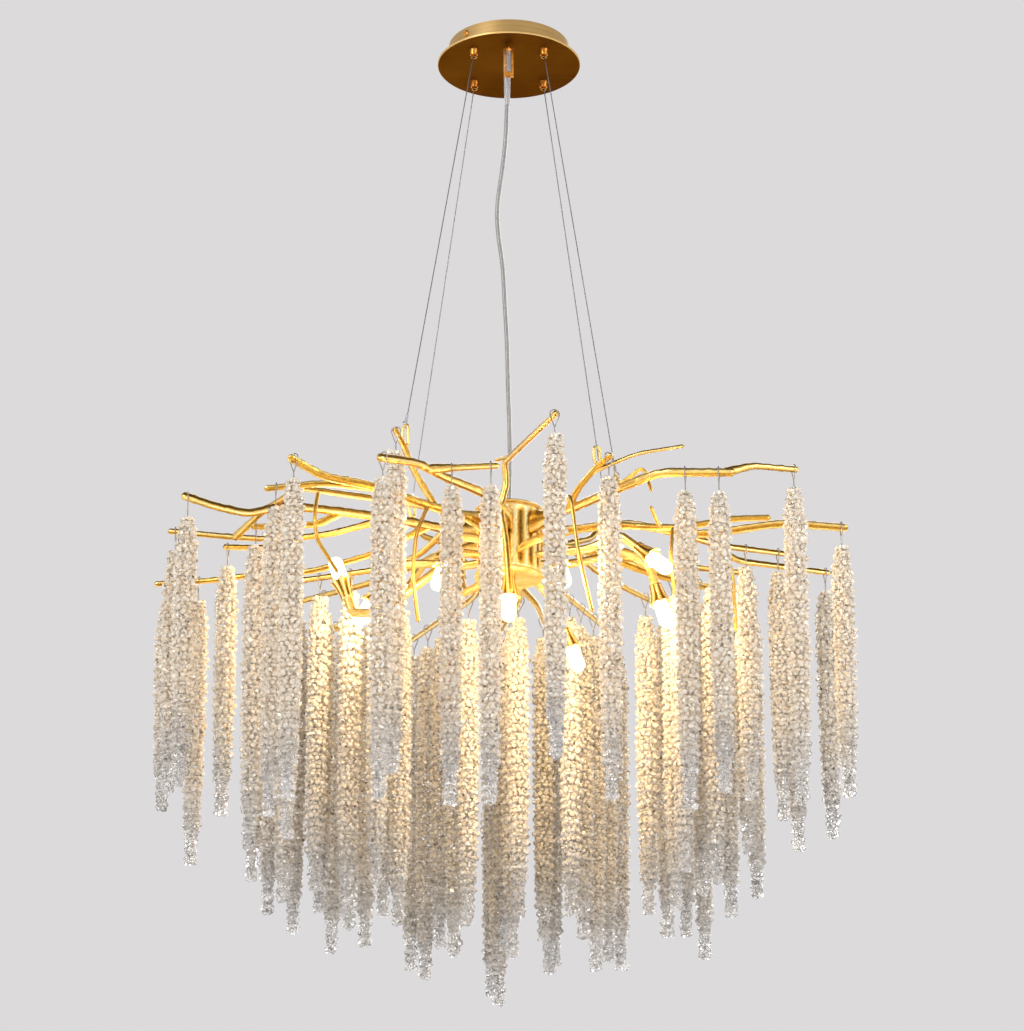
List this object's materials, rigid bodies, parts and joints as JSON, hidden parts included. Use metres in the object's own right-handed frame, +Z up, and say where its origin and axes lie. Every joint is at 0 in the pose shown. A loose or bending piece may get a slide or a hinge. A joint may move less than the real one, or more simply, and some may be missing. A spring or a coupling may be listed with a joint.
{
  "type": "crystal chandelier",
  "caption": "Ceiling chandelier: round canopy, thin cables and a cord that carry a crown of gold branches hung with long glass bead strands around small lamps.",
  "frame": {"origin": "middle of the canopy's top, in the ceiling's plane", "axes": "+Z up into the ceiling; +X to the right and +Y to the back as seen from the front, where the flat link hangs"},
  "size_m": [0.7992, 0.6704, 1.0767],
  "materials": {
    "cast_gold": "polished over a hammered, bark-like casting",
    "brushed_gold": "brushed, lacquered",
    "zinc_steel": "zinc plated",
    "bright_steel": "bright wire rope",
    "white_plastic": "matt",
    "clear_plastic": "clear, flexible",
    "cord_sheath": "clear sheath over silver braid",
    "ceramic": "unglazed",
    "bulb_glass": "frosted, lit",
    "crystal": "cut and polished"
  },
  "bodies": {
    "chandelier_frame": {"branch_screws": "zinc_steel", "bulbs": "bulb_glass", "cable_ends": "bright_steel", "cable_grips": "brushed_gold", "canopy_eye": "brushed_gold", "canopy_pan": "brushed_gold", "canopy_plate": "brushed_gold", "canopy_side_screws": "zinc_steel", "ceiling_bracket": "zinc_steel", "cord_relief": "clear_plastic", "east_bough": "cast_gold", "grip_nuts": "zinc_steel", "hub_base": "cast_gold", "hub_cap": "cast_gold", "hub_drum": "cast_gold", "lamp_arms": "cast_gold", "lamp_cups": "cast_gold", "lamp_sockets": "ceramic", "north_bough": "cast_gold", "northeast_bough": "cast_gold", "northwest_bough": "cast_gold", "power_cord": "cord_sheath", "south_bough": "cast_gold", "southeast_bough": "cast_gold", "southwest_bough": "cast_gold", "suspension_cables": "bright_steel", "terminal_block": "white_plastic", "west_bough": "cast_gold"},
    "east_low_strands": {"east_low_strands": "crystal"},
    "east_middle_strands": {"east_middle_strands": "crystal"},
    "east_reach_strands": {"east_reach_strands": "crystal"},
    "north_left_strands": {"north_left_strands": "crystal"},
    "north_middle_strands": {"north_middle_strands": "crystal"},
    "north_reach_strands": {"north_reach_strands": "crystal"},
    "north_right_strands": {"north_right_strands": "crystal"},
    "northeast_left_strands": {"northeast_left_strands": "crystal"},
    "northeast_reach_strands": {"northeast_reach_strands": "crystal"},
    "northeast_right_strands": {"northeast_right_strands": "crystal"},
    "northwest_left_strands": {"northwest_left_strands": "crystal"},
    "northwest_reach_strands": {"northwest_reach_strands": "crystal"},
    "south_bar_strands": {"south_bar_strands": "crystal"},
    "south_reach_strands": {"south_reach_strands": "crystal"},
    "south_trunk_strands": {"south_trunk_strands": "crystal"},
    "southeast_reach_strands": {"southeast_reach_strands": "crystal"},
    "southeast_riser_strands": {"southeast_riser_strands": "crystal"},
    "southeast_tip_strands": {"southeast_tip_strands": "crystal"},
    "southwest_low_strands": {"southwest_low_strands": "crystal"},
    "southwest_reach_strands": {"southwest_reach_strands": "crystal"},
    "southwest_riser_strands": {"southwest_riser_strands": "crystal"},
    "west_back_strands": {"west_back_strands": "crystal"},
    "west_inner_strands": {"west_inner_strands": "crystal"},
    "west_low_strands": {"west_low_strands": "crystal"},
    "west_middle_strands": {"west_middle_strands": "crystal"},
    "west_reach_strands": {"west_reach_strands": "crystal"},
    "west_short_strands": {"west_short_strands": "crystal"},
    "grip_collar_back_left": {"grip_collar_back_left": "brushed_gold"},
    "grip_collar_back_right": {"grip_collar_back_right": "brushed_gold"},
    "grip_collar_front_left": {"grip_collar_front_left": "brushed_gold"},
    "grip_collar_front_right": {"grip_collar_front_right": "brushed_gold"},
    "safety_link": {"safety_link": "brushed_gold"}
  },
  "joints": [
    {"name": "east_low_sway", "type": "hinge", "parent": "chandelier_frame", "child": "east_low_strands", "pos_m": [0.36384, 0.09821, -0.6258], "axis": [-0.9599, -0.2787, 0.031], "range_deg": [-12, 1.5]},
    {"name": "east_middle_sway", "type": "hinge", "parent": "chandelier_frame", "child": "east_middle_strands", "pos_m": [0.30984, 0.05622, -0.61784], "axis": [-0.9603, -0.278, 0.0253], "range_deg": [-1.5, 12]},
    {"name": "east_reach_sway", "type": "hinge", "parent": "chandelier_frame", "child": "east_reach_strands", "pos_m": [0.37585, 0.00536, -0.60557], "axis": [-0.9955, -0.0786, 0.0524], "range_deg": [-10.5, 12]},
    {"name": "north_left_sway", "type": "hinge", "parent": "chandelier_frame", "child": "north_left_strands", "pos_m": [-0.11527, 0.36619, -0.61314], "axis": [0.4252, -0.9049, -0.0218], "range_deg": [-7, 4.5]},
    {"name": "north_middle_sway", "type": "hinge", "parent": "chandelier_frame", "child": "north_middle_strands", "pos_m": [0.05304, 0.36565, -0.61613], "axis": [-0.149, -0.9886, -0.0203], "range_deg": [-2, 4]},
    {"name": "north_reach_sway", "type": "hinge", "parent": "chandelier_frame", "child": "north_reach_strands", "pos_m": [-0.02039, 0.37997, -0.61218], "axis": [0.1961, -0.9803, -0.0218], "range_deg": [-4, 2]},
    {"name": "north_right_sway", "type": "hinge", "parent": "chandelier_frame", "child": "north_right_strands", "pos_m": [0.13159, 0.36205, -0.61314], "axis": [-0.3751, -0.9267, -0.0221], "range_deg": [-4, 7]},
    {"name": "northeast_left_sway", "type": "hinge", "parent": "chandelier_frame", "child": "northeast_left_strands", "pos_m": [0.22844, 0.31066, -0.61319], "axis": [-0.5545, -0.8317, -0.0301], "range_deg": [-7.5, 5.5]},
    {"name": "northeast_reach_sway", "type": "hinge", "parent": "chandelier_frame", "child": "northeast_reach_strands", "pos_m": [0.2856, 0.2229, -0.6122], "axis": [-0.7818, -0.623, -0.0244], "range_deg": [-5, 4]},
    {"name": "northeast_right_sway", "type": "hinge", "parent": "chandelier_frame", "child": "northeast_right_strands", "pos_m": [0.26999, 0.11975, -0.61811], "axis": [-0.9362, -0.3511, -0.0167], "range_deg": [-3.5, 7.5]},
    {"name": "northwest_left_sway", "type": "hinge", "parent": "chandelier_frame", "child": "northwest_left_strands", "pos_m": [-0.2791, 0.25385, -0.61417], "axis": [0.7626, -0.6463, -0.0258], "range_deg": [-2.5, 4]},
    {"name": "northwest_reach_sway", "type": "hinge", "parent": "chandelier_frame", "child": "northwest_reach_strands", "pos_m": [-0.20781, 0.32696, -0.61218], "axis": [0.5112, -0.8592, -0.0218], "range_deg": [-4.5, 7]},
    {"name": "south_bar_sway", "type": "hinge", "parent": "chandelier_frame", "child": "south_bar_strands", "pos_m": [-0.01639, -0.15741, -0.5951], "axis": [-0.9957, 0.0914, -0.0162], "range_deg": [-12, 12]},
    {"name": "south_reach_sway", "type": "hinge", "parent": "chandelier_frame", "child": "south_reach_strands", "pos_m": [-0.13607, -0.19949, -0.60273], "axis": [0.7239, 0.6722, 0.1551], "range_deg": [-12, 12]},
    {"name": "south_trunk_sway", "type": "hinge", "parent": "chandelier_frame", "child": "south_trunk_strands", "pos_m": [0.04919, -0.26187, -0.57742], "axis": [-0.2815, 0.9553, 0.0905], "range_deg": [-12, 12]},
    {"name": "southeast_reach_sway", "type": "hinge", "parent": "chandelier_frame", "child": "southeast_reach_strands", "pos_m": [0.23991, -0.14883, -0.59951], "axis": [-0.988, 0.1428, 0.0595], "range_deg": [-12, 12]},
    {"name": "southeast_riser_sway", "type": "hinge", "parent": "chandelier_frame", "child": "southeast_riser_strands", "pos_m": [0.11047, -0.12271, -0.57088], "axis": [-0.5494, 0.8242, -0.1374], "range_deg": [-3, 12]},
    {"name": "southeast_tip_sway", "type": "hinge", "parent": "chandelier_frame", "child": "southeast_tip_strands", "pos_m": [0.31402, -0.1223, -0.58535], "axis": [-0.932, -0.3585, -0.0538], "range_deg": [-12, 12]},
    {"name": "southwest_low_sway", "type": "hinge", "parent": "chandelier_frame", "child": "southwest_low_strands", "pos_m": [-0.26171, -0.1412, -0.615], "axis": [0.98, 0.1244, 0.1555], "range_deg": [-3.5, 12]},
    {"name": "southwest_reach_sway", "type": "hinge", "parent": "chandelier_frame", "child": "southwest_reach_strands", "pos_m": [-0.23287, -0.1899, -0.60087], "axis": [0.7479, 0.6232, -0.2285], "range_deg": [-12, 3.5]},
    {"name": "southwest_riser_sway", "type": "hinge", "parent": "chandelier_frame", "child": "southwest_riser_strands", "pos_m": [-0.12438, -0.13388, -0.54508], "axis": [0.2522, 0.9529, -0.1682], "range_deg": [-4.5, 8]},
    {"name": "west_back_sway", "type": "hinge", "parent": "chandelier_frame", "child": "west_back_strands", "pos_m": [-0.29321, 0.17323, -0.61614], "axis": [0.9016, -0.4319, -0.0216], "range_deg": [-12, 3]},
    {"name": "west_inner_sway", "type": "hinge", "parent": "chandelier_frame", "child": "west_inner_strands", "pos_m": [-0.28358, -0.02417, -0.61583], "axis": [0.9993, -0.0266, 0.0266], "range_deg": [-12, 12]},
    {"name": "west_low_sway", "type": "hinge", "parent": "chandelier_frame", "child": "west_low_strands", "pos_m": [-0.39812, 0.06427, -0.65177], "axis": [0.9152, 0.3543, 0.1919], "range_deg": [-4.5, 12]},
    {"name": "west_middle_sway", "type": "hinge", "parent": "chandelier_frame", "child": "west_middle_strands", "pos_m": [-0.37964, 0.00961, -0.60878], "axis": [0.9907, -0.061, -0.1219], "range_deg": [-7.5, 5]},
    {"name": "west_reach_sway", "type": "hinge", "parent": "chandelier_frame", "child": "west_reach_strands", "pos_m": [-0.35826, -0.05559, -0.59265], "axis": [0.945, 0.0497, -0.3233], "range_deg": [-12, 6.5]},
    {"name": "west_short_sway", "type": "hinge", "parent": "chandelier_frame", "child": "west_short_strands", "pos_m": [-0.31973, 0.04277, -0.61561], "axis": [0.9768, -0.1915, -0.0958], "range_deg": [-12, 12]},
    {"name": "collar_back_left_release", "type": "slide", "parent": "chandelier_frame", "child": "grip_collar_back_left", "axis": [0, 0, 1], "range_m": [0, 0.0015], "stiffness_N_per_m": 1500, "springref_m": -0.001},
    {"name": "collar_back_right_release", "type": "slide", "parent": "chandelier_frame", "child": "grip_collar_back_right", "axis": [0, 0, 1], "range_m": [0, 0.0015], "stiffness_N_per_m": 1500, "springref_m": -0.001},
    {"name": "collar_front_left_release", "type": "slide", "parent": "chandelier_frame", "child": "grip_collar_front_left", "axis": [0, 0, 1], "range_m": [0, 0.0015], "stiffness_N_per_m": 1500, "springref_m": -0.001},
    {"name": "collar_front_right_release", "type": "slide", "parent": "chandelier_frame", "child": "grip_collar_front_right", "axis": [0, 0, 1], "range_m": [0, 0.0015], "stiffness_N_per_m": 1500, "springref_m": -0.001},
    {"name": "safety_link_swing", "type": "hinge", "parent": "chandelier_frame", "child": "safety_link", "pos_m": [0, -0.056, -0.0311], "axis": [1, 0, 0], "range_deg": [-45, 15]}
  ]
}
